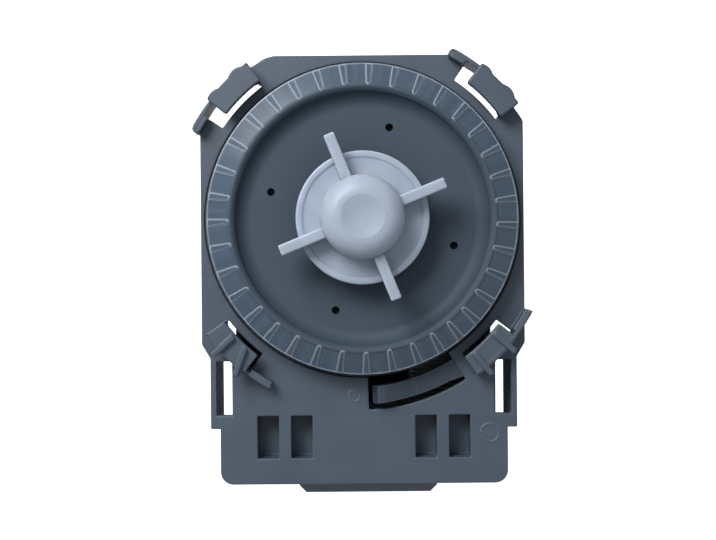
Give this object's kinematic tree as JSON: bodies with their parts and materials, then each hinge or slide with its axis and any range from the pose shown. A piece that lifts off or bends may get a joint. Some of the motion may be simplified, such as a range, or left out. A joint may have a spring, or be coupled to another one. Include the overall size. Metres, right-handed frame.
{
  "type": "drain pump",
  "caption": "Appliance drain pump: bayonet plate with ribbed round chamber disc, open straight-blade impeller on a canned magnet rotor, split-core motor and clip-on rear cover.",
  "frame": {"origin": "where the rotor's axis passes through the front face of the mounting plate", "axes": "+Z along the rotor's axis from the motor to the impeller, +Y to the plate's top edge, away from the connector, +X to the right as seen from the impeller"},
  "size_m": [0.0774, 0.1047, 0.0698],
  "materials": {
    "grey_plastic": "satin",
    "natural_plastic": "satin",
    "black_plastic": "satin",
    "rubber": "matte",
    "bearing_ceramic": "satin",
    "ferrite": "matte",
    "lamination_steel": "satin",
    "steel": "satin",
    "copper_wire": "satin",
    "tape": "satin",
    "tinned_brass": "satin"
  },
  "bodies": {
    "housing": {"mounting_plate": "grey_plastic", "chamber_disc": "grey_plastic", "seal_ring": "rubber", "bearing_bracket": "grey_plastic", "front_bearing": "bearing_ceramic", "front_bearing_rubber": "rubber", "rear_bearing": "bearing_ceramic", "rear_bearing_rubber": "rubber", "core_pole_left": "lamination_steel", "core_pole_right": "lamination_steel", "core_yoke": "lamination_steel", "core_screws": "steel", "bobbin_left": "black_plastic", "bobbin_right": "black_plastic", "winding_left": "copper_wire", "winding_right": "copper_wire", "coil_tape_left": "tape", "coil_tape_right": "tape", "thermal_fuse": "steel", "connector_housing": "black_plastic", "terminal_tabs": "tinned_brass", "rear_cover": "grey_plastic"},
    "rotor": {"rotor_shaft": "steel", "rotor_magnet": "ferrite", "magnet_carrier": "natural_plastic", "drive_dog": "natural_plastic", "dog_buffer": "rubber", "front_thrust_washer": "steel", "rear_thrust_washer": "steel"},
    "impeller_wheel": {"impeller": "natural_plastic", "hub_cover": "natural_plastic"},
    "tongue": {"lock_tongue": "grey_plastic"}
  },
  "joints": [
    {"name": "rotor_spin", "type": "hinge", "parent": "housing", "child": "rotor", "pos_m": [0, 0, 0], "axis": [0, 0, 1], "continuous": true},
    {"name": "impeller_play", "type": "hinge", "parent": "rotor", "child": "impeller_wheel", "pos_m": [0, 0, 0.014], "axis": [0, 0, 1], "range_deg": [-105, 105]},
    {"name": "tongue_flex", "type": "hinge", "parent": "housing", "child": "tongue", "pos_m": [0.0217, -0.0342, -0.001], "axis": [0.5358, -0.8443, 0], "range_deg": [0, 6], "stiffness_Nm_per_rad": 0.05}
  ]
}
